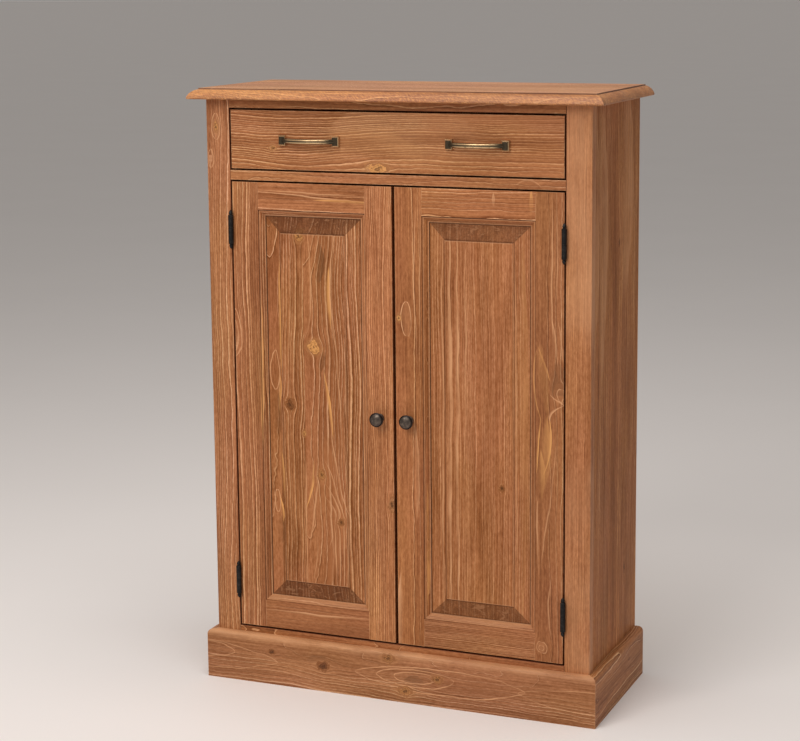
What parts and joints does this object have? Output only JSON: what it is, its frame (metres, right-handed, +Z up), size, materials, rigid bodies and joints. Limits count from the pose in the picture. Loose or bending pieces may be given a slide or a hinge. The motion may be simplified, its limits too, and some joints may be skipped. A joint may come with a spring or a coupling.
{
  "type": "highboard",
  "caption": "Tall cupboard in stained softwood with a wide drawer over framed doors with raised panels, moulded top, rounded plinth, bow handles and knobs.",
  "frame": {"origin": "on the floor, under the middle of the top", "axes": "+Z up, front with the doors towards -Y, +X to the right of someone facing it"},
  "size_m": [0.88, 0.356, 1.245],
  "materials": {
    "stained_softwood": "brown stain under satin varnish",
    "plain_softwood": "lightly oiled",
    "plywood": "sanded, unfinished",
    "antique_brass": "darkened, rubbed bright along the edges",
    "black_iron": "blackened, satin",
    "steel": "zinc plated",
    "brown_plastic": "moulded, matte"
  },
  "bodies": {
    "carcass": {"back_board_1": "plain_softwood", "back_board_2": "plain_softwood", "back_board_3": "plain_softwood", "back_board_4": "plain_softwood", "back_board_5": "plain_softwood", "back_screws": "steel", "bottom_rail": "stained_softwood", "divider_panel": "plain_softwood", "drawer_guides": "plain_softwood", "drawer_kickers": "plain_softwood", "drawer_stops": "plain_softwood", "floor_panel": "plain_softwood", "front_stile_left": "stained_softwood", "front_stile_right": "stained_softwood", "hinge_base_screws": "steel", "hinge_bases": "black_iron", "hinge_pins": "steel", "magnet_catches": "brown_plastic", "middle_rail": "stained_softwood", "plinth_back": "plain_softwood", "plinth_blocks": "plain_softwood", "plinth_front": "stained_softwood", "plinth_left": "stained_softwood", "plinth_right": "stained_softwood", "shelf_lower": "plain_softwood", "shelf_pins": "steel", "shelf_upper": "plain_softwood", "side_panel_left": "stained_softwood", "side_panel_right": "stained_softwood", "top_panel": "stained_softwood", "top_rail": "stained_softwood"},
    "drawer": {"drawer_back": "plain_softwood", "drawer_bottom": "plywood", "drawer_front": "stained_softwood", "drawer_side_left": "plain_softwood", "drawer_side_right": "plain_softwood", "handle_left": "antique_brass", "handle_right": "antique_brass", "handle_rosettes": "antique_brass", "handle_screws": "steel"},
    "left_door": {"left_door_bottom_rail": "stained_softwood", "left_door_hinge_caps": "black_iron", "left_door_hinge_screws": "steel", "left_door_hinge_stile": "stained_softwood", "left_door_knob": "black_iron", "left_door_meeting_stile": "stained_softwood", "left_door_panel": "stained_softwood", "left_door_strike_plate": "steel", "left_door_top_rail": "stained_softwood"},
    "right_door": {"right_door_bottom_rail": "stained_softwood", "right_door_hinge_caps": "black_iron", "right_door_hinge_screws": "steel", "right_door_hinge_stile": "stained_softwood", "right_door_knob": "black_iron", "right_door_meeting_stile": "stained_softwood", "right_door_panel": "stained_softwood", "right_door_strike_plate": "steel", "right_door_top_rail": "stained_softwood"}
  },
  "joints": [
    {"name": "drawer_slide", "type": "slide", "parent": "carcass", "child": "drawer", "axis": [0, -1, 0], "range_m": [0, 0.22]},
    {"name": "left_door_hinge", "type": "hinge", "parent": "carcass", "child": "left_door", "pos_m": [-0.3565, -0.1536, 0.587], "axis": [0, 0, -1], "range_deg": [0, 170]},
    {"name": "right_door_hinge", "type": "hinge", "parent": "carcass", "child": "right_door", "pos_m": [0.3565, -0.1536, 0.587], "axis": [0, 0, 1], "range_deg": [0, 170]}
  ]
}
